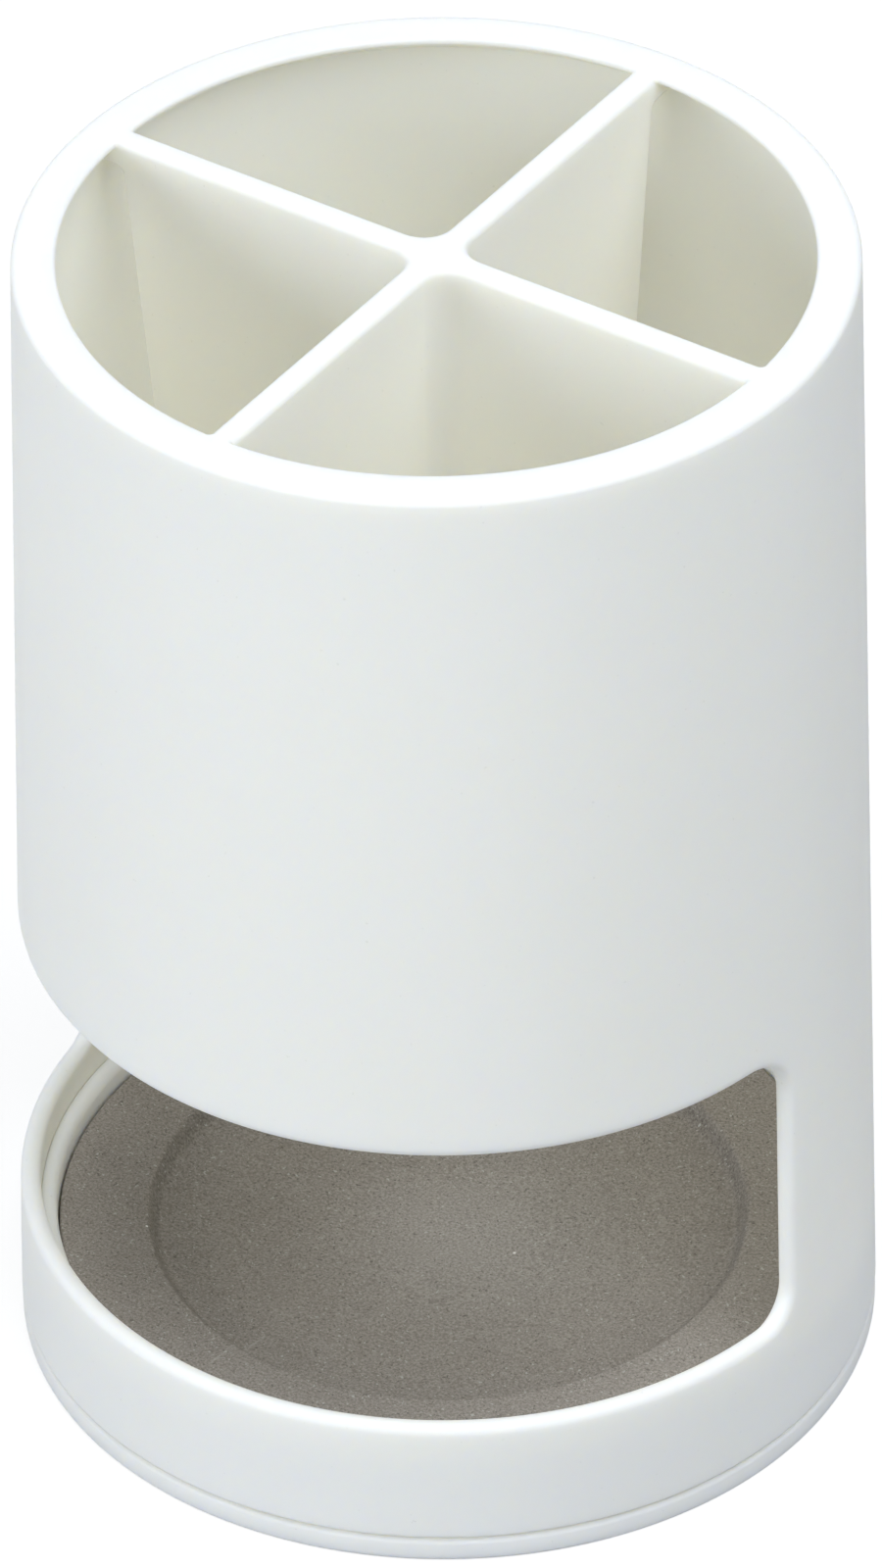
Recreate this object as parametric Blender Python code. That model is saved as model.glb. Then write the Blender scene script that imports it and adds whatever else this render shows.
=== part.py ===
"""Tool stand: a white tube with a four-way divider, on a round tray that holds a diatomite dish.

Metres, +Z up. The stand rests on z = 0 with its axis on the Z axis, the window in
the tube's wall faces -Y, and the divider's four arms lie along X and Y.
"""
import math

import bmesh
import bpy
from mathutils import Vector

MM = 0.001
SEGMENTS = 96          # facets round each turned shape
FIT_GAP = 0.3 * MM      # least gap between two pieces

# Tray: a foot, a flat floor and a ring that stands up inside the tube
FOOT_RADIUS = 45.0 * MM
FOOT_HEIGHT = 2.7 * MM
FOOT_ROUND_TOP = 0.6 * MM
FOOT_ROUND_BOTTOM = 0.5 * MM
UNDERSIDE_RADIUS = 39.5 * MM    # hollow below the floor, inside the foot
UNDERSIDE_DEPTH = 0.9 * MM
FLOOR_TOP = 3.5 * MM
RING_TOP = 13.3 * MM
RING_WALL = 1.4 * MM
RING_ROUND = 0.6 * MM

# Body: the tapered tube
HEIGHT = 133.0 * MM
BODY_BOTTOM = FOOT_HEIGHT + FIT_GAP
BOTTOM_RADIUS = 45.0 * MM       # outer radius at the tube's lower edge
TOP_RADIUS = 42.6 * MM          # outer radius at the rim
WALL = 2.1 * MM
BOTTOM_ROUND = 0.4 * MM

# Body: the rim, which reaches inwards past the wall
RIM_INNER_RADIUS = 38.1 * MM
RIM_OUTER_ROUND = 0.9 * MM
RIM_INNER_ROUND = 0.4 * MM
RIM_NOSE = 0.7 * MM             # height of the rim's inner edge
RIM_ROOT = 2.7 * MM             # depth at which the rim's underside meets the wall

# Body: the divider, joined to the rim by a tab on each arm, and free of the wall below
ARM_HALF_TOP = 1.4 * MM
ARM_HALF_BOTTOM = 1.0 * MM
ARM_FILLET = 3.0 * MM           # in plan, where the arms cross
ARM_BOTTOM = 58.0 * MM
TAB_DEPTH = 2.8 * MM
TAB_END_RADIUS = 41.4 * MM      # inside the wall's thickness
SLOT_ROUND = 1.2 * MM
ARM_END_TOP = 37.3 * MM         # radius of an arm's free edge just below its tab
ARM_END_SLOPE = math.radians(5.9)

# Body: the window, nearly half of the tube's way round
WINDOW_BOTTOM = 17.4 * MM
WINDOW_TOP = 52.2 * MM
WINDOW_BACK = -2.5 * MM         # the side edges' place in Y
WINDOW_ROUND_BOTTOM = 3.8 * MM
WINDOW_ROUND_TOP = 6.0 * MM
CUTTER_REACH = 60.0 * MM

# Dish: a flat rim round a shallow hollow
DISH_RADIUS = 40.5 * MM
DISH_BOTTOM = FLOOR_TOP + FIT_GAP
DISH_TOP = 10.7 * MM
DISH_ROUND = 0.4 * MM
HOLLOW_RADIUS = 31.6 * MM
HOLLOW_SHOULDER = 1.3 * MM      # width and depth of the step down into the hollow
HOLLOW_CROWN = 1.4 * MM         # how much deeper the middle is than the hollow's edge
HOLLOW_RINGS = 5
SHOULDER_STEPS = 5

ARC_STEPS = 3
FILLET_STEPS = 6        # in each corner where the arms cross
WINDOW_STEPS = 8        # in each corner of the window
SHARP_ANGLE = math.radians(35)
MERGE_DISTANCE = 0.001 * MM

# Colour (linear RGB), roughness
WHITE_PLASTIC = ((0.78, 0.80, 0.78), 0.35)
GREY_DIATOMITE = ((0.20, 0.185, 0.165), 0.95)


def clear_objects():
    for obj in list(bpy.data.objects):
        bpy.data.objects.remove(obj, do_unlink=True)


def make_material(name, finish):
    colour, roughness = finish
    material = bpy.data.materials.new(name)
    material.use_nodes = True
    shader = material.node_tree.nodes["Principled BSDF"]
    shader.inputs["Base Color"].default_value = (*colour, 1.0)
    shader.inputs["Roughness"].default_value = roughness
    shader.inputs["Metallic"].default_value = 0.0
    return material


def arc(centre, radius, start, end, steps=ARC_STEPS):
    """Points of an arc in two coordinates, angles in degrees from the first axis."""
    points = []
    for k in range(steps + 1):
        angle = math.radians(start + (end - start) * k / steps)
        points.append((centre[0] + radius * math.cos(angle), centre[1] + radius * math.sin(angle)))
    return points


def new_object(name, bm, material=None):
    bmesh.ops.recalc_face_normals(bm, faces=bm.faces)
    mesh = bpy.data.meshes.new(name)
    bm.to_mesh(mesh)
    bm.free()
    obj = bpy.data.objects.new(name, mesh)
    bpy.context.scene.collection.objects.link(obj)
    if material:
        mesh.materials.append(material)
    return obj


def smooth(obj):
    obj.data.shade_smooth()
    obj.data.set_sharp_from_angle(angle=SHARP_ANGLE)


def turned(name, profile, material=None):
    """Turn a profile of (radius, z) points about Z. Ends on the axis close by themselves."""
    bm = bmesh.new()
    verts = [bm.verts.new((radius, 0.0, z)) for radius, z in profile]
    edges = [bm.edges.new(pair) for pair in zip(verts, verts[1:])]
    if profile[0][0] > 0.0:
        edges.append(bm.edges.new((verts[-1], verts[0])))
    bmesh.ops.spin(bm, geom=verts + edges, axis=(0, 0, 1), cent=(0, 0, 0),
                   steps=SEGMENTS, angle=math.tau, use_merge=True)
    bmesh.ops.remove_doubles(bm, verts=bm.verts, dist=MERGE_DISTANCE)
    return new_object(name, bm, material)


def extruded(name, lower, upper):
    """A closed solid between two outlines that have the same number of 3D points."""
    bm = bmesh.new()
    low = [bm.verts.new(point) for point in lower]
    high = [bm.verts.new(point) for point in upper]
    bm.faces.new(low)
    bm.faces.new(high)
    for k in range(len(low)):
        after = (k + 1) % len(low)
        bm.faces.new((low[k], low[after], high[after], high[k]))
    return new_object(name, bm)


def combine(target, tool, operation):
    """Apply a Boolean to target and remove the tool."""
    modifier = target.modifiers.new(operation.lower(), "BOOLEAN")
    modifier.operation = operation
    modifier.object = tool
    modifier.solver = "EXACT"
    depsgraph = bpy.context.evaluated_depsgraph_get()
    result = bpy.data.meshes.new_from_object(target.evaluated_get(depsgraph))
    target.modifiers.clear()
    target.data = result
    bpy.data.objects.remove(tool, do_unlink=True)


def steady(obj):
    """Sort the vertices and the faces and cut the faces to triangles, so every build gives one mesh."""
    made = obj.data
    order = sorted(range(len(made.vertices)),
                   key=lambda k: tuple(round(c / MERGE_DISTANCE) for c in made.vertices[k].co))
    place = {k: rank for rank, k in enumerate(order)}
    faces = []
    for polygon in made.polygons:
        corners = [place[k] for k in polygon.vertices]
        start = corners.index(min(corners))
        faces.append(corners[start:] + corners[:start])
    mesh = bpy.data.meshes.new(obj.name)
    mesh.from_pydata([made.vertices[k].co for k in order], [], sorted(faces))
    mesh.materials.append(made.materials[0])
    bm = bmesh.new()
    bm.from_mesh(mesh)
    bmesh.ops.triangulate(bm, faces=bm.faces, quad_method="SHORT_EDGE", ngon_method="EAR_CLIP")
    bm.to_mesh(mesh)
    bm.free()
    obj.data = mesh


def outer_radius(z):
    """The tube's outer radius at height z: a straight taper from its lower edge to the rim."""
    share = (z - BODY_BOTTOM) / (HEIGHT - BODY_BOTTOM)
    return BOTTOM_RADIUS + (TOP_RADIUS - BOTTOM_RADIUS) * share


def wall_inner_radius(z):
    return outer_radius(z) - WALL


def tube_profile():
    """The tube's section: up the outside, over the rim, and down the inside."""
    rim_side = outer_radius(HEIGHT - RIM_OUTER_ROUND)
    root = HEIGHT - RIM_ROOT
    nose = HEIGHT - RIM_NOSE
    profile = arc((BOTTOM_RADIUS - BOTTOM_ROUND, BODY_BOTTOM + BOTTOM_ROUND), BOTTOM_ROUND, -90, 0)
    profile += arc((rim_side - RIM_OUTER_ROUND, HEIGHT - RIM_OUTER_ROUND), RIM_OUTER_ROUND, 0, 90)
    profile += arc((RIM_INNER_RADIUS + RIM_INNER_ROUND, HEIGHT - RIM_INNER_ROUND), RIM_INNER_ROUND,
                   90, 180)
    profile.append((RIM_INNER_RADIUS, nose))
    profile.append((wall_inner_radius(root), root))
    profile.append((wall_inner_radius(BODY_BOTTOM), BODY_BOTTOM))
    return profile


def cross_outline(half, z):
    """Plan of the four arms at height z, with a fillet in each corner where they cross."""
    centre = half + ARM_FILLET
    quarter = [(TAB_END_RADIUS, half)]
    quarter += arc((centre, centre), ARM_FILLET, 270, 180, FILLET_STEPS)
    quarter.append((half, TAB_END_RADIUS))
    points = []
    for turn in range(4):
        for x, y in quarter:
            for _ in range(turn):
                x, y = -y, x
            points.append(Vector((x, y, z)))
    return points


def arm_envelope_profile():
    """Turned shape that trims the arms: slanted free edges, a rounded slot corner, then the tab."""
    tab_bottom = HEIGHT - TAB_DEPTH
    corner = (ARM_END_TOP + SLOT_ROUND, tab_bottom - SLOT_ROUND)
    end_bottom = ARM_END_TOP - (corner[1] - ARM_BOTTOM) * math.tan(ARM_END_SLOPE)
    profile = [(0.0, ARM_BOTTOM - CUTTER_REACH), (end_bottom, ARM_BOTTOM - CUTTER_REACH)]
    profile.append((end_bottom, ARM_BOTTOM))
    profile += arc(corner, SLOT_ROUND, 180, 90)
    profile.append((TAB_END_RADIUS - FIT_GAP, tab_bottom))
    profile.append((TAB_END_RADIUS - FIT_GAP, HEIGHT + CUTTER_REACH))
    profile.append((0.0, HEIGHT + CUTTER_REACH))
    return profile


def window_outline(x):
    """The window seen from the side, as points at one X."""
    bottom = (WINDOW_BACK - WINDOW_ROUND_BOTTOM, WINDOW_BOTTOM + WINDOW_ROUND_BOTTOM)
    top = (WINDOW_BACK - WINDOW_ROUND_TOP, WINDOW_TOP - WINDOW_ROUND_TOP)
    outline = [(-CUTTER_REACH, WINDOW_BOTTOM)]
    outline += arc(bottom, WINDOW_ROUND_BOTTOM, -90, 0, WINDOW_STEPS)
    outline += arc(top, WINDOW_ROUND_TOP, 0, 90, WINDOW_STEPS)
    outline.append((-CUTTER_REACH, WINDOW_TOP))
    return [Vector((x, y, z)) for y, z in outline]


def make_body(material):
    body = turned("body", tube_profile(), material)
    cross = extruded("cross", cross_outline(ARM_HALF_BOTTOM, ARM_BOTTOM),
                     cross_outline(ARM_HALF_TOP, HEIGHT))
    combine(cross, turned("arm_envelope", arm_envelope_profile()), "INTERSECT")
    combine(body, cross, "UNION")
    window = extruded("window", window_outline(-CUTTER_REACH), window_outline(CUTTER_REACH))
    combine(body, window, "DIFFERENCE")
    steady(body)
    smooth(body)
    return body


def make_tray(material):
    ring_outer_low = wall_inner_radius(FOOT_HEIGHT) - FIT_GAP
    ring_outer_high = wall_inner_radius(RING_TOP) - FIT_GAP
    ring_inner = ring_outer_high - RING_WALL
    profile = [(0.0, UNDERSIDE_DEPTH), (UNDERSIDE_RADIUS - UNDERSIDE_DEPTH, UNDERSIDE_DEPTH)]
    profile.append((UNDERSIDE_RADIUS, 0.0))
    profile += arc((FOOT_RADIUS - FOOT_ROUND_BOTTOM, FOOT_ROUND_BOTTOM), FOOT_ROUND_BOTTOM, -90, 0)
    profile += arc((FOOT_RADIUS - FOOT_ROUND_TOP, FOOT_HEIGHT - FOOT_ROUND_TOP), FOOT_ROUND_TOP, 0, 90)
    profile.append((ring_outer_low, FOOT_HEIGHT))
    profile += arc((ring_outer_high - RING_ROUND, RING_TOP - RING_ROUND), RING_ROUND, 0, 90)
    profile += arc((ring_inner + RING_ROUND, RING_TOP - RING_ROUND), RING_ROUND, 90, 180)
    profile.append((ring_inner, FLOOR_TOP))
    profile.append((0.0, FLOOR_TOP))
    tray = turned("base_tray", profile, material)
    smooth(tray)
    return tray


def make_dish(material):
    edge = HOLLOW_RADIUS - HOLLOW_SHOULDER
    edge_z = DISH_TOP - HOLLOW_SHOULDER
    profile = [(0.0, DISH_BOTTOM)]
    profile += arc((DISH_RADIUS - DISH_ROUND, DISH_BOTTOM + DISH_ROUND), DISH_ROUND, -90, 0)
    profile += arc((DISH_RADIUS - DISH_ROUND, DISH_TOP - DISH_ROUND), DISH_ROUND, 0, 90)
    for k in range(SHOULDER_STEPS):
        share = k / SHOULDER_STEPS
        drop = 0.5 - 0.5 * math.cos(math.pi * share)
        profile.append((HOLLOW_RADIUS - HOLLOW_SHOULDER * share, DISH_TOP - HOLLOW_SHOULDER * drop))
    for k in range(HOLLOW_RINGS):
        radius = edge * (1.0 - k / HOLLOW_RINGS)
        profile.append((radius, edge_z - HOLLOW_CROWN * (1.0 - (radius / edge) ** 2)))
    profile.append((0.0, edge_z - HOLLOW_CROWN))
    dish = turned("diatomite_dish", profile, material)
    smooth(dish)
    return dish


def main():
    clear_objects()
    plastic = make_material("white_plastic", WHITE_PLASTIC)
    diatomite = make_material("grey_diatomite", GREY_DIATOMITE)
    make_tray(plastic)
    make_dish(diatomite)
    make_body(plastic)


main()
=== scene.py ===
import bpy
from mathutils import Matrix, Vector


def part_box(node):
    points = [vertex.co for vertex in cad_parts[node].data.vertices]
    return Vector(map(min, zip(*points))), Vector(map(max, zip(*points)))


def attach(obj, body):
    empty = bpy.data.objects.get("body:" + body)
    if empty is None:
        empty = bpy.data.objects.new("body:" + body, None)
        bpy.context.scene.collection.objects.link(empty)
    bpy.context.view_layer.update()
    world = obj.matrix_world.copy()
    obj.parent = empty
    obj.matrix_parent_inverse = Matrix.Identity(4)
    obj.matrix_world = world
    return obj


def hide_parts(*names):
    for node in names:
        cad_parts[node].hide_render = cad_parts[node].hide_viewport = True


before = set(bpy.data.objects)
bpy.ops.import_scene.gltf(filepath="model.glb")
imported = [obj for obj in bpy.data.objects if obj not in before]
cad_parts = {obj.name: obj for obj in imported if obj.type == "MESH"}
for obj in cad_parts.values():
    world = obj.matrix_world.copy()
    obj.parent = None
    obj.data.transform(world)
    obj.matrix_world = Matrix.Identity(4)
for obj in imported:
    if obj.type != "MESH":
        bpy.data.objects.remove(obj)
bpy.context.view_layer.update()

# The looks of the tool stand: a white tube with a four-way divider, its tray and a diatomite dish.
# Sizes are in millimetres, in the same frame as the CAD, and turned to metres where they are used.

import math

import bmesh
import bpy
from mathutils import Matrix, Vector

MM = 0.001
SHARP_ANGLE = math.radians(35)      # edges bent by more than this stay crisp
FLAT_SHARE = 80                     # how strongly large faces lead the shading; 50 is neutral
MERGE_DISTANCE = 0.0005             # points of the tube that are closer than this become one
TREE_TOLERANCE = 0.001              # the same for the turned pieces, and how closely heights have to match


def solid_box(name):
    """A solid's lowest and highest corner in the frame, in millimetres to the nearest hundredth."""
    return [[round(c / MM, 2) for c in corner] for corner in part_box(name)]


tube_low, tube_high = solid_box("body")
tray_high = solid_box("base_tray")[1]
dish_low, dish_high = solid_box("diatomite_dish")

# Tube: the tapered wall and its rim
HEIGHT = tube_high[2]
BODY_BOTTOM = tube_low[2]
BOTTOM_RADIUS = tube_high[0]
TOP_RADIUS = 42.6
WALL = 2.1
BOTTOM_ROUND = 0.4
BOTTOM_ROUND_IN = 0.3
RIM_INNER_RADIUS = 38.1
RIM_OUTER_ROUND = 0.9
RIM_INNER_ROUND = 0.4
RIM_NOSE = 0.7
RIM_ROOT = 2.7
RIM_STEPS = 6

# Tube: the window and the columns of faces round it
WINDOW_BOTTOM = 17.4
WINDOW_TOP = 52.2
WINDOW_BACK = -2.5
WINDOW_ROUND_BOTTOM = 3.8
WINDOW_ROUND_TOP = 6.0
WINDOW_EDGE_OUT = 0.95
WINDOW_EDGE_IN = 0.9
EDGE_STEPS = 4
FRONT_COLUMNS = 96
BACK_COLUMNS = 112
CORNER_STEPS = 12
SIDE_STEPS = 8
UPPER_COUNT = 2 * CORNER_STEPS + FRONT_COLUMNS
MARGIN = 2.5
MARGIN_ROWS = 3
WALL_ROWS = (70.0, 85.0, 100.0, 115.0, 126.0)
LOWEST_ROW = 6.0

# Divider: four arms that hang from the rim by tabs
ARM_HALF_TOP = 1.4
ARM_HALF_BOTTOM = 1.0
ARM_FILLET = 3.0
ARM_BOTTOM = 58.0
ARM_EDGE = 0.3
LEAST_EDGE = 0.02
ARM_TOP_ROUND = 0.9
TAB_DEPTH = 2.8
TAB_BOTTOM = HEIGHT - TAB_DEPTH
SLOT_ROUND = 1.2
ARM_END_TOP = 37.3
ARM_END_SLOPE = math.radians(5.9)
ARM_CORNER = 0.4
ARM_STEPS = 8
TAB_STEPS = 3
FILLET_STEPS = 8
RIM_QUARTER_STEPS = 32
TAB_ARC_STEPS = 4
TINY_STEPS = 3
ARM_ROWS = (120.0, 105.0, 90.0, 75.0)

# Camera, as fitted to the photograph
IMAGE_WIDTH = 900       # pixels
IMAGE_HEIGHT = 1600
FOCAL_PIXELS = 14419.0
PRINCIPAL = (451.5, 771.5)
CAMERA_TARGET = Vector((0.0, 0.0, 70.0))
CAMERA_DISTANCE = 1450.0
CAMERA_AZIMUTH = 34.3       # degrees to the right of the window's middle
CAMERA_ELEVATION = 36.877   # degrees
CAMERA_ROLL = -0.0124       # radians
SENSOR = 36.0
CLIP_NEAR = 50.0
CLIP_FAR = 50000.0

# Studio: light in linear RGB, lamps as name, degrees from the camera's side, degrees up, watts
LIGHT = (0.905, 0.945, 1.0)
EVEN_LIGHT = 0.18
LAMP_DISTANCE = 1600.0
LAMP_SIZE = 1000.0
LAMPS = (
    ("left", -100.0, 10.0, 1.3),
    ("front_left", -60.0, 10.0, 12.9),
    ("front", -20.0, 10.0, 1.8),
    ("right", 75.0, 10.0, 1.5),
    ("front_right", 30.0, 35.0, 3.8),
    ("front_high", 0.0, 62.0, 4.9),
    ("right_high", 60.0, 62.0, 9.5),
    ("top", 0.0, 88.0, 9.9),
    ("back", 180.0, 10.0, 3.0),
)
FLOOR_REACH = 8000.0
FLOOR_DROP = 0.02           # the floor lies this far below the foot
FLOOR_TONE = (0.42, 0.42, 0.42)
SHADED_TONE = (0.30, 0.30, 0.30)    # with the glow, the floor that the camera sees
FLOOR_GLOW = 0.76
DIFFUSE_BOUNCES = 12

# Finishes: tones in linear RGB, noises as size, detail and roughness, bumps as strength and depth,
# single marks as place and radius
MIDDLE_RANGE = (0.3, 0.7)

# Plastic finish
PLASTIC_TONES = ((0.951, 0.939, 0.867), (0.962, 0.950, 0.881))
PLASTIC_DRIFT = (14.0, 3.0, 0.55)
PLASTIC_SPECKS = (0.5, 1.0, 0.5)
PLASTIC_SPECK_RANGE = (0.77, 0.80)
PLASTIC_SPECK_SHARE = 0.35
PLASTIC_SPECK_TONE = (0.74, 0.73, 0.66)
NICKS = (((19.1, -1.4, 133.0), 0.30), ((21.6, -0.6, 132.8), 0.22), ((17.2, -2.4, 132.9), 0.18))
NICK_CORE = 0.4             # share of a nick's radius that is full strength
NICK_TONE = (0.50, 0.49, 0.44)
PLASTIC_SHEEN = (2.2, 4.0, 0.6)
PLASTIC_SHEEN_RANGE = (0.25, 0.75)
PLASTIC_ROUGHNESS = (0.46, 0.56)
PLASTIC_IOR = 1.47
PLASTIC_SHINE = 0.12
GLOW_DEPTH = 2.0
GLOW_TINT = (1.0, 0.92, 0.75)
MOULD_TEXTURE = (0.35, 2.0, 0.5)
MOULD_TEXTURE_BUMP = (0.10, 0.02)
MOULD_WAVES = (9.0, 2.0, 0.5)
MOULD_WAVES_BUMP = (0.15, 0.10)

# Diatomite finish
STONE_TONES = ((0.318, 0.282, 0.249), (0.343, 0.306, 0.273))
STONE_MOTTLE = (5.0, 3.0, 0.6)
# painted light: a paler patch in the hollow's middle, standing in for light that falls down through the tube
PAINTED_LIGHT_CENTRE = (5.0, 1.0, 0.0)
PAINTED_LIGHT_REACH = 23.0
PAINTED_LIGHT_TONE = (0.95, 0.95, 0.95)
PAINTED_LIGHT_SHARE = 0.09
# painted shade: the hollow's steep edge, and faintly the slope towards it, are made darker
STEEP_EDGE_RADIUS = 30.9
STEEP_EDGE_END = 31.3
STEEP_EDGE_CORE = 0.1
STEEP_EDGE_HALF = 1.2
PAINTED_EDGE_SHADE_SHARE = 0.31
SLOPE_START = 24.0
PAINTED_SLOPE_SHADE_SHARE = 0.10
PAINTED_SHADE_TONE = (0.035, 0.027, 0.020)
GRAIN = (0.29, 3.0, 0.68)
GRAIN_RANGE = (0.36, 0.64)
GRAIN_DARK_KEEPS = 0.72     # how much of the colour a dark grain keeps
GRAIN_LIGHT_TAKES = 0.19    # how much of the light tone a light grain takes
GRAIN_LIGHT_TONE = (0.66, 0.65, 0.61)
DARK_SPECKS = (0.36, 2.0, 0.6)
DARK_SPECK_RANGE = (0.62, 0.67)
DARK_SPECK_SHARE = 0.62
DARK_SPECK_TONE = (0.10, 0.09, 0.078)
LIGHT_SPECKS = (0.42, 1.0, 0.5)
LIGHT_SPECK_RANGE = (0.69, 0.73)
LIGHT_SPECK_SHARE = 0.8
LIGHT_SPECK_TONE = (0.52, 0.51, 0.48)
WHITE_SPECKS = (((7.92, 0.65, 7.6), 0.22), ((-24.72, -19.9, 10.7), 0.20))
WHITE_SPECK_CORE = 0.5      # share of a white speck's radius that is full strength
WHITE_SPECK_TONE = (0.80, 0.79, 0.76)
SCRATCH_START = (-6.3, -35.4)
SCRATCH_END = (-5.5, -26.1)
SCRATCH_HEIGHTS = (7.0, 10.8)
SCRATCH_HALF = (0.05, 0.22)     # full strength within the first, none beyond the second
SCRATCH_SHARE = 0.22
SCRATCH_BREAKS = (1.6, 2.0, 0.5)
SCRATCH_BREAK_RANGE = (0.35, 0.55)
SCRATCH_LEAST = 0.2
SCRATCH_TONE = (0.72, 0.70, 0.66)
STONE_ROUGHNESS = (0.88, 0.98)
STONE_IOR = 1.45
STONE_SHINE = 0.3
GRAIN_BUMP = (0.4, 0.04)
STONE_DENTS = (1.1, 3.0, 0.6)
STONE_DENTS_BUMP = (0.2, 0.10)

# Tray: sizes, and the corners of its section by radius, height and rounding
FOOT_INSIDE = 0.05          # how far the foot stays inside the solid's
TRAY_SIZES = {
    "Foot radius": tray_high[0] - FOOT_INSIDE, "Foot height": 2.7,
    "Foot top rounding": 0.6, "Foot bottom rounding": 0.5,
    "Underside radius": 39.5, "Underside depth": 0.9, "Underside rounding": 0.4,
    "Ring base radius": 42.85, "Ring radius": 42.68, "Ring top": tray_high[2], "Ring wall": 1.65,
    "Ring outer rounding": 0.35, "Ring inner rounding": 1.25,
    "Floor top": 3.5, "Inner fillet": 0.5, "Turning steps": 240, "Rounding steps": 5,
}
TRAY_CORNERS = (
    ("", "Underside_depth", ""),
    ("Underside_radius -Underside_depth", "Underside_depth", "Underside_rounding"),
    ("Underside_radius", "", "Underside_rounding"),
    ("Foot_radius", "", "Foot_bottom_rounding"),
    ("Foot_radius", "Foot_height", "Foot_top_rounding"),
    ("Ring_base_radius", "Foot_height", ""),
    ("Ring_radius", "Ring_top", "Ring_outer_rounding"),
    ("Ring_radius -Ring_wall", "Ring_top", "Ring_inner_rounding"),
    ("Ring_radius -Ring_wall", "Floor_top", "Inner_fillet"),
    ("", "Floor_top", ""),
)

# Dish: sizes, the corners of its section, and the crown that deepens its hollow towards the middle
DISH_OUTSIDE = 0.35         # how far the dish reaches beyond the solid's edge, as in the photograph
DISH_SIZES = {
    "Dish radius": dish_high[0] + DISH_OUTSIDE, "Dish bottom": dish_low[2], "Dish top": dish_high[2],
    "Edge rounding": 0.35,
    "Hollow radius": 31.6, "Shoulder": 1.1, "Shoulder drop": 1.8,
    "Shoulder edge": 0.6, "Shoulder rounding": 1.5, "Crown depth": 1.4,
    "Turning steps": 240, "Rounding steps": 6, "Hollow rings": 24,
}
DISH_CORNERS = (
    ("", "Dish_bottom", ""),
    ("Dish_radius", "Dish_bottom", "Edge_rounding"),
    ("Dish_radius", "Dish_top", "Edge_rounding"),
    ("Hollow_radius", "Dish_top", "Shoulder_edge"),
    ("Hollow_radius -Shoulder", "Dish_top -Shoulder_drop", "Shoulder_rounding"),
    ("", "Dish_top -Shoulder_drop", ""),
)
DISH_CROWN = ("Hollow_radius -Shoulder", "Dish_top -Shoulder_drop", "Crown_depth", "Hollow_rings",
              "Dish_bottom Shoulder")


# Small mesh tools

def steps(count):
    return [k / count for k in range(count + 1)]


def mix(a, b, share):
    return a + (b - a) * share


def ring_of(bm, points):
    """Vertices at points given in millimetres."""
    return [bm.verts.new(Vector(point) * MM) for point in points]


def bridge(bm, first, second, closed=True):
    """Quads between two rows of vertices that have the same count."""
    last = len(first) if closed else len(first) - 1
    for k in range(last):
        after = (k + 1) % len(first)
        bm.faces.new((first[k], first[after], second[after], second[k]))


def turn_angle(vert):
    return math.atan2(vert.co.y, vert.co.x) % math.tau


def zip_rings(bm, first, second):
    """Triangles between two closed rings whose vertices don't line up."""
    first = sorted(first, key=turn_angle)
    second = sorted(second, key=turn_angle)
    a = [turn_angle(v) for v in first] + [turn_angle(first[0]) + math.tau]
    b = [turn_angle(v) for v in second] + [turn_angle(second[0]) + math.tau]
    first.append(first[0])
    second.append(second[0])
    i = j = 0
    while i < len(first) - 1 or j < len(second) - 1:
        if j == len(second) - 1 or (i < len(first) - 1 and a[i + 1] <= b[j + 1]):
            bm.faces.new((first[i], first[i + 1], second[j]))
            i += 1
        else:
            bm.faces.new((first[i], second[j + 1], second[j]))
            j += 1


def outer_radius(z):
    share = (z - BODY_BOTTOM) / (HEIGHT - BODY_BOTTOM)
    return BOTTOM_RADIUS + (TOP_RADIUS - BOTTOM_RADIUS) * share


def wall_inner_radius(z):
    return outer_radius(z) - WALL


def arm_half(z):
    share = (z - ARM_BOTTOM) / (HEIGHT - ARM_BOTTOM)
    return ARM_HALF_BOTTOM + (ARM_HALF_TOP - ARM_HALF_BOTTOM) * share


# The window in the tube's wall

def window_loop(bm, away, inset):
    """A loop round the window: away from the cut face into the wall, and inset from the wall's outer face."""
    z0 = WINDOW_BOTTOM + WINDOW_ROUND_BOTTOM
    z1 = WINDOW_TOP - WINDOW_ROUND_TOP

    def corner(radius, z_centre, sign):
        points = []
        for share in steps(CORNER_STEPS)[1:]:
            angle = share * math.pi / 2
            reach = radius + away
            points.append((WINDOW_BACK - radius + reach * math.cos(angle),
                           z_centre + sign * reach * math.sin(angle)))
        return points

    def on_wall(y, z, sign):
        radius = outer_radius(z) - inset
        return (sign * math.sqrt(radius * radius - y * y), y, z)

    def across_front(y, z):
        radius = outer_radius(z) - inset
        start = math.asin(y / radius)
        points = []
        for share in steps(FRONT_COLUMNS):
            angle = mix(start, -math.pi - start, share)
            points.append((radius * math.cos(angle), radius * math.sin(angle), z))
        return points

    side = [(WINDOW_BACK + away, mix(z0, z1, share)) for share in steps(SIDE_STEPS)]
    high = corner(WINDOW_ROUND_TOP, z1, 1)
    low = corner(WINDOW_ROUND_BOTTOM, z0, -1)
    points = [on_wall(y, z, 1) for y, z in side + high[:-1]]
    points += across_front(*high[-1])
    points += [on_wall(y, z, -1) for y, z in list(reversed(side + high[:-1])) + low[:-1]]
    points += reversed(across_front(*low[-1]))
    points += [on_wall(y, z, 1) for y, z in reversed(low[:-1])]
    return ring_of(bm, points)


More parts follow.
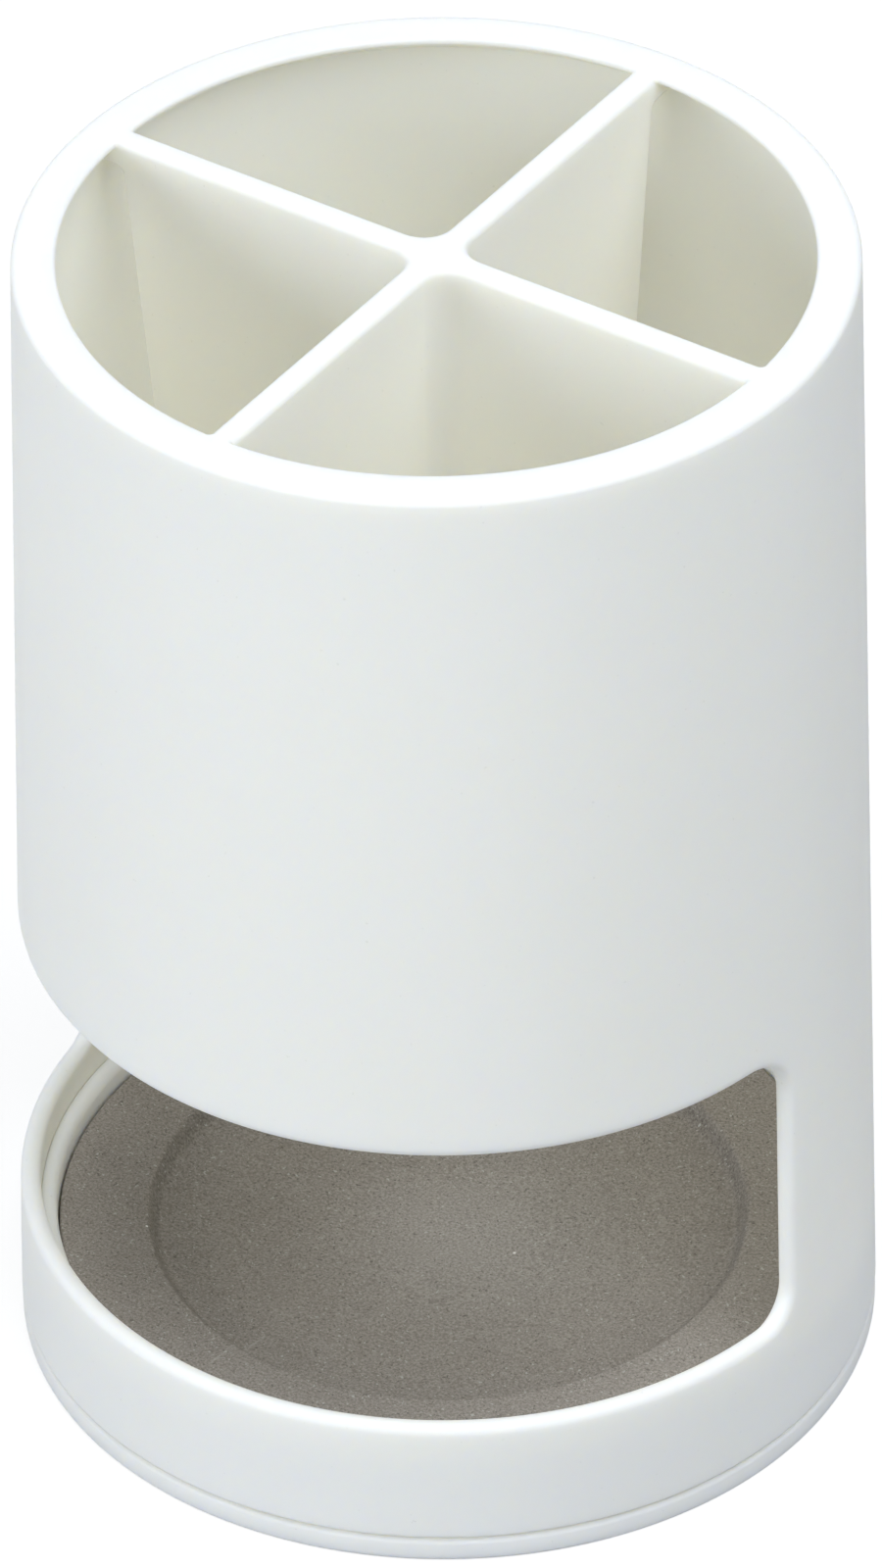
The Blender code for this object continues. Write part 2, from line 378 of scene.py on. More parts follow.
def wall_round_window(bm, loop, inset):
    """The wall's face round a window loop. Returns its top ring and its bottom ring."""
    left_start = SIDE_STEPS + UPPER_COUNT
    side_right = loop[:SIDE_STEPS + 1]
    side_left = loop[left_start:left_start + SIDE_STEPS + 1]
    upper = loop[SIDE_STEPS:left_start + 1]
    lower = loop[left_start + SIDE_STEPS:] + [loop[0]]

    def columns(path, z_end):
        rows = [path]
        for row in range(1, MARGIN_ROWS + 1):
            points = []
            for vert in path:
                angle = math.atan2(vert.co.y, vert.co.x)
                z = mix(vert.co.z / MM, z_end, row / MARGIN_ROWS)
                radius = outer_radius(z) - inset
                points.append((radius * math.cos(angle), radius * math.sin(angle), z))
            rows.append(ring_of(bm, points))
            bridge(bm, rows[-2], rows[-1], closed=False)
        return rows[1:]

    high_rows = columns(upper, WINDOW_TOP + MARGIN)
    low_rows = columns(lower, WINDOW_BOTTOM - MARGIN)
    right_edge = [row[-1] for row in reversed(low_rows)] + side_right + [row[0] for row in high_rows]
    left_edge = [row[0] for row in reversed(low_rows)] + side_left[::-1] + [row[-1] for row in high_rows]
    back_rows = []
    for right_vert, left_vert in zip(right_edge, left_edge):
        z = right_vert.co.z / MM
        radius = outer_radius(z) - inset
        first = math.atan2(right_vert.co.y, right_vert.co.x)
        last = math.atan2(left_vert.co.y, left_vert.co.x) % math.tau
        points = []
        for share in steps(BACK_COLUMNS)[1:-1]:
            angle = mix(first, last, share)
            points.append((radius * math.cos(angle), radius * math.sin(angle), z))
        back_rows.append([right_vert] + ring_of(bm, points) + [left_vert])
        if len(back_rows) > 1:
            bridge(bm, back_rows[-2], back_rows[-1], closed=False)
    top_ring = back_rows[-1] + high_rows[-1][::-1][1:-1]
    bottom_ring = back_rows[0] + low_rows[-1][1:-1]
    return top_ring, bottom_ring


def next_ring(bm, ring, radius, z):
    """A ring with the same turn angles at another radius and height, joined to the first."""
    points = []
    for vert in ring:
        angle = math.atan2(vert.co.y, vert.co.x)
        points.append((radius * math.cos(angle), radius * math.sin(angle), z))
    made = ring_of(bm, points)
    bridge(bm, ring, made)
    return made


# The compartments' mouths and the divider

def quarter_turn(point, turn):
    x, y, z = point
    for _ in range(turn):
        x, y = -y, x
    return (x, y, z)


def stands_back(radius, depth):
    """How far a rounded edge stands back at a depth below its top."""
    if depth >= radius:
        return 0.0
    return radius - math.sqrt(radius * radius - (radius - depth) ** 2)


def mouth_radius(depth):
    """The rim's inner radius at a depth below the top: upright at its nose, then slanting out to the wall."""
    share = max(0.0, depth - RIM_NOSE) / (RIM_ROOT - RIM_NOSE)
    return mix(RIM_INNER_RADIUS, wall_inner_radius(HEIGHT - RIM_ROOT), share)


def compartment_points(z, rim):
    """Outline of the compartment between +X and +Y at height z: arm, corner, rim, corner, arm, fillet."""
    arm_back = stands_back(ARM_TOP_ROUND, HEIGHT - z)
    rim_back = stands_back(RIM_INNER_ROUND, HEIGHT - z)
    half = arm_half(z)
    centre = half + ARM_FILLET
    y_corner = half + ARM_CORNER
    x_corner = math.sqrt((rim - ARM_CORNER) ** 2 - y_corner ** 2)
    reach = min(ARM_END_TOP + SLOT_ROUND, rim - 2 * ARM_CORNER) - ARM_EDGE
    along = [mix(centre, reach, share) for share in steps(ARM_STEPS)]
    along += [mix(reach, x_corner, share) for share in steps(TAB_STEPS)[1:]]
    arm = [(x, half - arm_back) for x in along]
    end = math.atan2(y_corner, x_corner)
    for share in steps(TINY_STEPS)[1:]:
        angle = mix(-math.pi / 2, end, share)
        radius = ARM_CORNER + mix(arm_back, rim_back, share)
        arm.append((x_corner + radius * math.cos(angle), y_corner + radius * math.sin(angle)))
    mouth = []
    for share in steps(RIM_QUARTER_STEPS)[1:-1]:
        angle = mix(end, math.pi / 2 - end, share)
        mouth.append(((rim + rim_back) * math.cos(angle), (rim + rim_back) * math.sin(angle)))
    fillet = []
    for share in steps(FILLET_STEPS)[1:-1]:
        angle = mix(math.pi, 1.5 * math.pi, share)
        radius = ARM_FILLET + arm_back
        fillet.append((centre + radius * math.cos(angle), centre + radius * math.sin(angle)))
    mirrored = [(y, x) for x, y in reversed(arm)]
    return [(x, y, z) for x, y in arm + mouth + mirrored + fillet]


def divider_points(z, reach, away):
    """Outline of the cross at height z, with its arms ending at reach, away inside its faces."""
    half = arm_half(z)
    centre = half + ARM_FILLET
    end = reach - away
    edge = max(ARM_EDGE - away, LEAST_EDGE)
    side = []
    for share in steps(TINY_STEPS):
        angle = share * math.pi / 2
        side.append((end - edge + edge * math.cos(angle), half - away - edge + edge * math.sin(angle)))
    side += [(mix(end - edge, centre, share), half - away) for share in steps(ARM_STEPS)[1:]]
    fillet = []
    for share in steps(FILLET_STEPS)[1:-1]:
        angle = mix(1.5 * math.pi, math.pi, share)
        radius = ARM_FILLET + away
        fillet.append((centre + radius * math.cos(angle), centre + radius * math.sin(angle)))
    quarter = side + fillet + [(y, x) for x, y in reversed(side)]
    return [quarter_turn((x, y, z), turn) for turn in range(4) for x, y in quarter]


def mouth_levels():
    """Heights and rim radii from the rim's top down to the tabs' undersides."""
    depths = [ARM_TOP_ROUND * (1 - math.cos(share * math.pi / 2)) for share in steps(2 * EDGE_STEPS)]
    depths += [mix(ARM_TOP_ROUND, RIM_ROOT, share) for share in steps(TINY_STEPS)[1:]]
    levels = [(HEIGHT - depth, mouth_radius(depth)) for depth in depths]
    levels.append((TAB_BOTTOM, wall_inner_radius(TAB_BOTTOM)))
    return levels


def make_mouths(bm):
    """The four compartments' mouths. Returns their rings at the rim's top and at the tabs' undersides."""
    mouths = []
    low_rings = []
    for turn in range(4):
        rings = []
        for z, rim in mouth_levels():
            rings.append(ring_of(bm, [quarter_turn(p, turn) for p in compartment_points(z, rim)]))
        for before, after in zip(rings, rings[1:]):
            bridge(bm, before, after)
        mouths.append(rings[0])
        low_rings.append(rings[-1])
    return mouths, low_rings


def make_tab_undersides(bm, outline, low_rings):
    """The tabs' undersides, from the arms' ends to the wall. Returns the wall's ring under the tabs."""
    tab_radius = wall_inner_radius(TAB_BOTTOM)
    y_corner = arm_half(TAB_BOTTOM) + ARM_CORNER
    end = math.asin(y_corner / (tab_radius - ARM_CORNER))
    quarter = len(outline) // 4
    tip = TINY_STEPS + 1
    rim_start = ARM_STEPS + TAB_STEPS + TINY_STEPS
    rim_end = rim_start + RIM_QUARTER_STEPS
    wall_ring = []
    for turn in range(4):
        points = []
        for share in steps(TAB_ARC_STEPS)[1:-1]:
            angle = mix(-end, end, share)
            point = (tab_radius * math.cos(angle), tab_radius * math.sin(angle), TAB_BOTTOM)
            points.append(quarter_turn(point, turn))
        across = ring_of(bm, points)
        after, before = low_rings[turn], low_rings[turn - 1]
        start = turn * quarter
        loop = [outline[start - tip + k] for k in range(1, tip)] + outline[start:start + tip - 1]
        loop += after[ARM_STEPS:rim_start + 1] + across[::-1]
        loop += before[rim_end:rim_end + TINY_STEPS + TAB_STEPS + 1]
        bm.faces.new(loop)
        wall_ring += across + after[rim_start:rim_end + 1]
    return wall_ring


def arm_end(z):
    """How far the arms reach at height z, below their slots' rounded tops."""
    return ARM_END_TOP - (TAB_BOTTOM - SLOT_ROUND - z) * math.tan(ARM_END_SLOPE)


def make_arms(bm, ring):
    """The arms, from the outline under the tabs down to their lower edges."""
    levels = []
    for share in steps(EDGE_STEPS)[1:]:
        angle = mix(math.pi / 2, math.pi, share)
        levels.append((TAB_BOTTOM - SLOT_ROUND + SLOT_ROUND * math.sin(angle),
                       ARM_END_TOP + SLOT_ROUND + SLOT_ROUND * math.cos(angle), 0.0))
    levels += [(z, arm_end(z), 0.0) for z in ARM_ROWS]
    for share in steps(TINY_STEPS):
        angle = share * math.pi / 2
        z = ARM_BOTTOM + ARM_EDGE * (1 - math.sin(angle))
        levels.append((z, arm_end(z), ARM_EDGE * (1 - math.cos(angle))))
    for z, reach, away in levels:
        made = ring_of(bm, divider_points(z, reach, away))
        bridge(bm, ring, made)
        ring = made
    bm.faces.new(ring)


def make_divider(bm):
    """The mouths, the tabs and the arms. Returns the four mouths and the wall's ring under the tabs."""
    mouths, low_rings = make_mouths(bm)
    outline = ring_of(bm, divider_points(TAB_BOTTOM, ARM_END_TOP + SLOT_ROUND, 0.0))
    wall_ring = make_tab_undersides(bm, outline, low_rings)
    make_arms(bm, outline)
    return mouths, wall_ring


# The whole tube

def make_window_edge(bm):
    """The window's edge: over the outer rounding, across the cut, and round to the inner face.

    Returns its loop on the outer face and its loop on the inner face.
    """
    sections = []
    for share in steps(EDGE_STEPS):
        angle = share * math.pi / 2
        sections.append((WINDOW_EDGE_OUT * (1 - math.sin(angle)), WINDOW_EDGE_OUT * (1 - math.cos(angle))))
    for share in steps(EDGE_STEPS):
        angle = (1 - share) * math.pi / 2
        sections.append((WINDOW_EDGE_IN * (1 - math.sin(angle)),
                         WALL - WINDOW_EDGE_IN * (1 - math.cos(angle))))
    loops = [window_loop(bm, away, inset) for away, inset in sections]
    for before, after in zip(loops, loops[1:]):
        bridge(bm, before, after)
    return loops[0], loops[-1]


def make_outside_and_rim(bm, ring, mouths):
    """Up the outside, over the rim's rounding, and the flat of the rim round the mouths."""
    for z in WALL_ROWS:
        ring = next_ring(bm, ring, outer_radius(z), z)
    side = outer_radius(HEIGHT - RIM_OUTER_ROUND)
    for share in steps(RIM_STEPS):
        angle = share * math.pi / 2
        ring = next_ring(bm, ring, side - RIM_OUTER_ROUND * (1 - math.cos(angle)),
                         HEIGHT - RIM_OUTER_ROUND * (1 - math.sin(angle)))
    edges = []
    for loop in [ring] + mouths:
        edges += [bm.edges.get((loop[k - 1], loop[k])) for k in range(len(loop))]
    bmesh.ops.triangle_fill(bm, use_beauty=True, use_dissolve=False, edges=edges)


def make_lower_edge(bm, outer_ring, inner_ring):
    """Down the outside, round the lower edge, and up to the inner ring."""
    ring = next_ring(bm, outer_ring, outer_radius(LOWEST_ROW), LOWEST_ROW)
    side = outer_radius(BODY_BOTTOM + BOTTOM_ROUND)
    for share in steps(TINY_STEPS):
        angle = share * math.pi / 2
        ring = next_ring(bm, ring, side - BOTTOM_ROUND * (1 - math.cos(angle)),
                         BODY_BOTTOM + BOTTOM_ROUND * (1 - math.sin(angle)))
    outer_foot = ring
    side = wall_inner_radius(BODY_BOTTOM)
    ring = next_ring(bm, inner_ring, side, BODY_BOTTOM + BOTTOM_ROUND_IN)
    ring = next_ring(bm, ring, side + BOTTOM_ROUND_IN, BODY_BOTTOM)
    bridge(bm, outer_foot, ring)


def make_inside(bm, ring, wall_ring):
    """Up the inside to the wall's ring under the tabs."""
    for z in WALL_ROWS:
        ring = next_ring(bm, ring, wall_inner_radius(z), z)
    zip_rings(bm, ring, wall_ring)


def tube_shape():
    """The tube with its rim, window and divider, as one closed shell."""
    bm = bmesh.new()
    mouths, wall_ring = make_divider(bm)
    outer_loop, inner_loop = make_window_edge(bm)
    outer_top, outer_bottom = wall_round_window(bm, outer_loop, 0.0)
    inner_top, inner_bottom = wall_round_window(bm, inner_loop, WALL)
    make_outside_and_rim(bm, outer_top, mouths)
    make_lower_edge(bm, outer_bottom, inner_bottom)
    make_inside(bm, inner_top, wall_ring)
    bmesh.ops.remove_doubles(bm, verts=bm.verts, dist=MERGE_DISTANCE * MM)
    bmesh.ops.recalc_face_normals(bm, faces=bm.faces)
    return bm


# Turned pieces, made with Geometry Nodes

class Tree:
    """A Geometry Nodes tree with named sizes and short ways to add and link nodes."""

    def __init__(self, name, sizes):
        self.tree = bpy.data.node_groups.new(name, "GeometryNodeTree")
        self.tree.interface.new_socket("Geometry", in_out="INPUT", socket_type="NodeSocketGeometry")
        self.identifiers = {}
        for size_name in sizes:
            socket_type = "NodeSocketInt" if isinstance(sizes[size_name], int) else "NodeSocketFloat"
            socket = self.tree.interface.new_socket(size_name, in_out="INPUT", socket_type=socket_type)
            self.identifiers[size_name] = socket.identifier
        self.tree.interface.new_socket("Geometry", in_out="OUTPUT", socket_type="NodeSocketGeometry")
        self.sizes = self.node("NodeGroupInput")

    def node(self, kind, **settings):
        made = self.tree.nodes.new(kind)
        for key, value in settings.items():
            setattr(made, key, value)
        return made

    def feed(self, socket, value):
        """Link an output to a socket, or set the socket's own value."""
        if isinstance(value, bpy.types.NodeSocket):
            self.tree.links.new(value, socket)
        elif isinstance(value, bpy.types.Node):
            self.tree.links.new(value.outputs[0], socket)
        else:
            socket.default_value = value

    def made(self, kind, inputs, **settings):
        """A node with its inputs fed, by name or place."""
        node = self.node(kind, **settings)
        for key, value in inputs.items():
            self.feed(node.inputs[key], value)
        return node

    def math(self, operation, *values):
        return self.made("ShaderNodeMath", dict(enumerate(values)), operation=operation).outputs[0]

    def vector(self, x, y, z):
        return self.made("ShaderNodeCombineXYZ", {0: x, 1: y, 2: z}).outputs[0]

    def total(self, terms):
        """The sum of named sizes; a name after a minus sign is taken off."""
        value = 0.0
        for term in terms.split():
            size = self.sizes.outputs[term.lstrip("-").replace("_", " ")]
            value = self.math("SUBTRACT" if term.startswith("-") else "ADD", value, size)
        return value

    def switch(self, kind, index, values):
        """The value in the list at an index."""
        node = self.node("GeometryNodeIndexSwitch", data_type=kind)
        while len(node.index_switch_items) < len(values):
            node.index_switch_items.new()
        self.feed(node.inputs[0], index)
        for k, value in enumerate(values):
            self.feed(node.inputs[k + 1], value)
        return node.outputs[0]


def section_curve(t, corners, index):
    """The section's outline with its corners rounded."""
    line = t.made("GeometryNodeCurvePrimitiveLine", {"End": (1.0, 0.0, 0.0)})
    section = t.made("GeometryNodeResampleCurve", {"Curve": line, "Count": len(corners)})
    places = [t.vector(t.total(radius), 0.0, t.total(height)) for radius, height, _ in corners]
    section = t.made("GeometryNodeSetPosition",
                     {"Geometry": section, "Position": t.switch("VECTOR", index.outputs[0], places)})
    roundings = [t.total(rounding) for _, _, rounding in corners]
    return t.made("GeometryNodeFilletCurve",
                  {"Curve": section, "Count": t.sizes.outputs["Rounding steps"],
                   "Radius": t.switch("FLOAT", index.outputs[0], roundings)}, mode="POLY")


def crowned_section(t, section, crown):
    """The section with its floor made deeper towards the middle.

    The crown has the floor's edge radius and height, how much deeper the middle lies, how many rings
    are added, and a height between the deepened floor and the underside.
    """
    edge, floor, depth, rings, middle = (t.total(term) for term in crown)
    position = t.made("ShaderNodeSeparateXYZ", {0: t.node("GeometryNodeInputPosition")})
    off_floor = t.math("ABSOLUTE", t.math("SUBTRACT", position.outputs[2], floor))
    on_floor = t.math("LESS_THAN", off_floor, TREE_TOLERANCE * MM)
    section = t.made("GeometryNodeSubdivideCurve",
                     {"Curve": section, "Cuts": t.math("MULTIPLY", on_floor, rings)})
    share = t.math("DIVIDE", position.outputs[0], edge)
    drop = t.math("MULTIPLY", t.math("SUBTRACT", 1.0, t.math("MULTIPLY", share, share)), depth)
    drop = t.math("MULTIPLY", t.math("MULTIPLY", t.math("MAXIMUM", drop, 0.0), -1.0),
                  t.math("GREATER_THAN", position.outputs[2], middle))
    return t.made("GeometryNodeSetPosition", {"Geometry": section, "Offset": t.vector(0.0, 0.0, drop)})


def turned_section(t, section, index):
    """A grid with the section's points along one side, turned about Z and joined where it meets."""
    size = t.made("GeometryNodeAttributeDomainSize", {"Geometry": section}, component="CURVE")
    turns = t.math("ADD", t.sizes.outputs["Turning steps"], 1)
    grid = t.made("GeometryNodeMeshGrid", {"Vertices X": size.outputs["Point Count"], "Vertices Y": turns})
    along = t.math("FLOOR", t.math("DIVIDE", t.math("ADD", index.outputs[0], 0.5), turns))
    around = t.math("SUBTRACT", index.outputs[0], t.math("MULTIPLY", along, turns))
    place = t.made("GeometryNodeSampleIndex",
                   {"Geometry": section, "Value": t.node("GeometryNodeInputPosition"), "Index": along},
                   data_type="FLOAT_VECTOR", domain="POINT")
    angle = t.math("DIVIDE", t.math("MULTIPLY", around, math.tau), t.sizes.outputs["Turning steps"])
    turned = t.made("ShaderNodeVectorRotate", {"Vector": place.outputs[0], "Angle": angle},
                    rotation_type="Z_AXIS")
    shape = t.made("GeometryNodeSetPosition", {"Geometry": grid, "Position": turned})
    return t.made("GeometryNodeMergeByDistance", {"Geometry": shape, "Distance": TREE_TOLERANCE * MM})


def turned_piece(name, sizes, corners, material, crown=None):
    """A closed piece turned about Z. Each corner of its section has a radius, a height and a rounding."""
    t = Tree(name + "_turning", sizes)
    index = t.node("GeometryNodeInputIndex")
    section = section_curve(t, corners, index)
    if crown:
        section = crowned_section(t, section, crown)
    shape = turned_section(t, section, index)
    shape = t.made("GeometryNodeRealizeInstances", {"Geometry": shape})
    shape = t.made("GeometryNodeSetMaterial", {"Geometry": shape, "Material": material})
    t.feed(t.node("NodeGroupOutput").inputs[0], shape)
    return modified_piece(name, t, sizes)


def modified_piece(name, tree, sizes):
    """The mesh that the tree gives with these sizes."""
    carrier = bpy.data.objects.new(name + "_carrier", bpy.data.meshes.new(name + "_carrier"))
    bpy.context.scene.collection.objects.link(carrier)
    modifier = carrier.modifiers.new("shape", "NODES")
    modifier.node_group = tree.tree
    for size_name, value in sizes.items():
        modifier[tree.identifiers[size_name]] = value if isinstance(value, int) else value * MM
    depsgraph = bpy.context.evaluated_depsgraph_get()
    mesh = bpy.data.meshes.new_from_object(carrier.evaluated_get(depsgraph))
    carrier.modifiers.clear()
    bpy.data.objects.remove(carrier, do_unlink=True)
    mesh.name = name
    return mesh


def finish_mesh(name, mesh, material):
    """A shown object from a mesh: normals out, shaded smooth, with crisp edges and flat faces kept."""
    bm = bmesh.new()
    bm.from_mesh(mesh)
    bmesh.ops.recalc_face_normals(bm, faces=bm.faces)
    bm.to_mesh(mesh)
    bm.free()
    mesh.materials.clear()
    mesh.materials.append(material)
    mesh.shade_smooth()
    mesh.set_sharp_from_angle(angle=SHARP_ANGLE)
    piece = bpy.data.objects.new(name, mesh)
    bpy.context.scene.collection.objects.link(piece)
    weighted = piece.modifiers.new("even_shading", "WEIGHTED_NORMAL")
    weighted.keep_sharp = True
    weighted.mode = "FACE_AREA"
    weighted.weight = FLAT_SHARE
    depsgraph = bpy.context.evaluated_depsgraph_get()
    shaded = bpy.data.meshes.new_from_object(piece.evaluated_get(depsgraph))
    shaded.name = name
    piece.modifiers.clear()
    piece.data = shaded
    return piece


# Materials

class Finish:
    """A material's node tree with short ways to add and link nodes."""

    def __init__(self, name):
        self.material = bpy.data.materials.new(name)
        self.material.use_nodes = True
        self.tree = self.material.node_tree
        self.shader = self.tree.nodes["Principled BSDF"]
        self.place = self.tree.nodes.new("ShaderNodeTexCoord").outputs["Object"]

    def feed(self, socket, value):
        if isinstance(value, bpy.types.NodeSocket):
            self.tree.links.new(value, socket)
        else:
            socket.default_value = value

    def node(self, kind, inputs, **settings):
        made = self.tree.nodes.new(kind)
        for key, value in settings.items():
            setattr(made, key, value)
        for key, value in inputs.items():
            self.feed(made.inputs[key], value)
        return made

    def noise(self, size, detail, roughness):
        """Noise whose features are about size millimetres across."""
        inputs = {"Vector": self.place, "Scale": 1.0 / (size * MM), "Detail": detail, "Roughness": roughness}
        return self.node("ShaderNodeTexNoise", inputs).outputs[0]

    def remap(self, value, low, high, to_low, to_high):
        """The value carried from one range to another, and held at its ends."""
        inputs = {0: value, 1: low, 2: high, 3: to_low, 4: to_high}
        return self.node("ShaderNodeMapRange", inputs).outputs[0]

    def math(self, operation, *values):
        return self.node("ShaderNodeMath", dict(enumerate(values)), operation=operation).outputs[0]

    def blend(self, share, first, second):
        """Colour mix; a colour is a linear triple or an output."""
        made = self.tree.nodes.new("ShaderNodeMix")
        made.data_type = "RGBA"
        self.feed(made.inputs[0], share)
        for socket, value in ((made.inputs[6], first), (made.inputs[7], second)):
            self.feed(socket, (*value, 1.0) if isinstance(value, tuple) else value)
        return made.outputs[2]

    def bump(self, height, strength, depth, normal=None):
        inputs = {"Height": height, "Strength": strength, "Distance": depth * MM}
        if normal is not None:
            inputs["Normal"] = normal
        return self.node("ShaderNodeBump", inputs).outputs[0]

    def between(self, value, low, high):
        """1 where the value lies between low and high millimetres, and 0 elsewhere."""
        return self.math("MULTIPLY", self.math("GREATER_THAN", value, low * MM),
                         self.math("LESS_THAN", value, high * MM))

    def spot(self, centre, core, reach, place=None):
        """1 within core of the centre, 0 from reach outwards, in millimetres."""
        centre = tuple(c * MM for c in centre)
        away = self.node("ShaderNodeVectorMath", {0: place or self.place, 1: centre}, operation="DISTANCE")
        inputs = {0: away.outputs["Value"], 1: core * MM, 2: reach * MM, 3: 1.0, 4: 0.0}
        return self.node("ShaderNodeMapRange", inputs, interpolation_type="SMOOTHSTEP").outputs[0]


def white_plastic():
    """Satin moulded ABS: faintly warm, with a soft glow through the wall, mould texture and a few nicks."""
    f = Finish("white_plastic_satin")
    drift = f.remap(f.noise(*PLASTIC_DRIFT), *MIDDLE_RANGE, 0.0, 1.0)
    colour = f.blend(drift, *PLASTIC_TONES)
    specks = f.remap(f.noise(*PLASTIC_SPECKS), *PLASTIC_SPECK_RANGE, 0.0, PLASTIC_SPECK_SHARE)
    colour = f.blend(specks, colour, PLASTIC_SPECK_TONE)
    for centre, radius in NICKS:
        colour = f.blend(f.spot(centre, NICK_CORE * radius, radius), colour, NICK_TONE)
    f.feed(f.shader.inputs["Base Color"], colour)
    sheen = f.remap(f.noise(*PLASTIC_SHEEN), *PLASTIC_SHEEN_RANGE, *PLASTIC_ROUGHNESS)
    f.feed(f.shader.inputs["Roughness"], sheen)
    f.shader.inputs["IOR"].default_value = PLASTIC_IOR
    f.shader.inputs["Specular IOR Level"].default_value = PLASTIC_SHINE
    f.shader.inputs["Subsurface Weight"].default_value = 1.0
    f.shader.inputs["Subsurface Radius"].default_value = GLOW_TINT
    f.shader.inputs["Subsurface Scale"].default_value = GLOW_DEPTH * MM
    normal = f.bump(f.noise(*MOULD_TEXTURE), *MOULD_TEXTURE_BUMP)
    normal = f.bump(f.noise(*MOULD_WAVES), *MOULD_WAVES_BUMP, normal)
    f.feed(f.shader.inputs["Normal"], normal)
    return f.material


def painted_edge_shade(f, level):
    """Painted shade: how much darker the hollow's steep edge is, and faintly its slope towards that edge."""
    radius = f.node("ShaderNodeVectorMath", {0: level}, operation="LENGTH").outputs["Value"]
    along = f.node("ShaderNodeCombineXYZ", {0: radius}).outputs[0]
    edge = f.spot((STEEP_EDGE_RADIUS, 0.0, 0.0), STEEP_EDGE_CORE, STEEP_EDGE_HALF, along)
    slope = f.remap(radius, SLOPE_START * MM, STEEP_EDGE_RADIUS * MM, 0.0, PAINTED_SLOPE_SHADE_SHARE)
    slope = f.math("MULTIPLY", slope, f.math("LESS_THAN", radius, STEEP_EDGE_END * MM))
    return f.math("MAXIMUM", f.math("MULTIPLY", edge, PAINTED_EDGE_SHADE_SHARE), slope)


def stone_scratch(f, place):
    """A faint, broken scratch from the dish's rim down into the hollow."""
    (x0, y0), (x1, y1) = SCRATCH_START, SCRATCH_END
    line = f.remap(place[1], y0 * MM, y1 * MM, x0 * MM, x1 * MM)
    across = f.math("ABSOLUTE", f.math("SUBTRACT", place[0], line))
    full, none = SCRATCH_HALF
    scratch = f.remap(across, full * MM, none * MM, SCRATCH_SHARE, 0.0)
    scratch = f.math("MULTIPLY", scratch, f.between(place[1], y0, y1))
    scratch = f.math("MULTIPLY", scratch, f.between(place[2], *SCRATCH_HEIGHTS))
    breaks = f.remap(f.noise(*SCRATCH_BREAKS), *SCRATCH_BREAK_RANGE, SCRATCH_LEAST, 1.0)
    return f.math("MULTIPLY", scratch, breaks)


def grey_diatomite():
    """Pressed diatomite: fine light and dark grains, soft mottling and a dry, rough face.

    Painted light makes the hollow's middle paler, and painted shade darkens its steep edge; one faint scratch
    crosses the edge.
    """
    f = Finish("grey_diatomite_grain")
    mottle = f.remap(f.noise(*STONE_MOTTLE), *MIDDLE_RANGE, 0.0, 1.0)
    colour = f.blend(mottle, *STONE_TONES)
    place = f.node("ShaderNodeSeparateXYZ", {0: f.place}).outputs
    level = f.node("ShaderNodeCombineXYZ", {0: place[0], 1: place[1]}).outputs[0]
    # painted light: the hollow's middle is made paler
    middle = f.spot(PAINTED_LIGHT_CENTRE, 0.0, PAINTED_LIGHT_REACH, level)
    colour = f.blend(f.math("MULTIPLY", middle, PAINTED_LIGHT_SHARE), colour, PAINTED_LIGHT_TONE)
    # painted shade at the hollow's steep edge and the slope before it
    colour = f.blend(painted_edge_shade(f, level), colour, PAINTED_SHADE_TONE)
    grain = f.noise(*GRAIN)
    darker = f.blend(GRAIN_DARK_KEEPS, (0.0, 0.0, 0.0), colour)
    lighter = f.blend(GRAIN_LIGHT_TAKES, colour, GRAIN_LIGHT_TONE)
    colour = f.blend(f.remap(grain, *GRAIN_RANGE, 0.0, 1.0), darker, lighter)
    dark = f.remap(f.noise(*DARK_SPECKS), *DARK_SPECK_RANGE, 0.0, DARK_SPECK_SHARE)
    colour = f.blend(dark, colour, DARK_SPECK_TONE)
    light = f.remap(f.noise(*LIGHT_SPECKS), *LIGHT_SPECK_RANGE, 0.0, LIGHT_SPECK_SHARE)
    colour = f.blend(light, colour, LIGHT_SPECK_TONE)
    for centre, radius in WHITE_SPECKS:
        colour = f.blend(f.spot(centre, WHITE_SPECK_CORE * radius, radius), colour, WHITE_SPECK_TONE)
    colour = f.blend(stone_scratch(f, place), colour, SCRATCH_TONE)
    f.feed(f.shader.inputs["Base Color"], colour)
    f.feed(f.shader.inputs["Roughness"], f.remap(grain, *MIDDLE_RANGE, *STONE_ROUGHNESS))
    f.shader.inputs["IOR"].default_value = STONE_IOR
    f.shader.inputs["Specular IOR Level"].default_value = STONE_SHINE
    normal = f.bump(grain, *GRAIN_BUMP)
    normal = f.bump(f.noise(*STONE_DENTS), *STONE_DENTS_BUMP, normal)
    f.feed(f.shader.inputs["Normal"], normal)
    return f.material


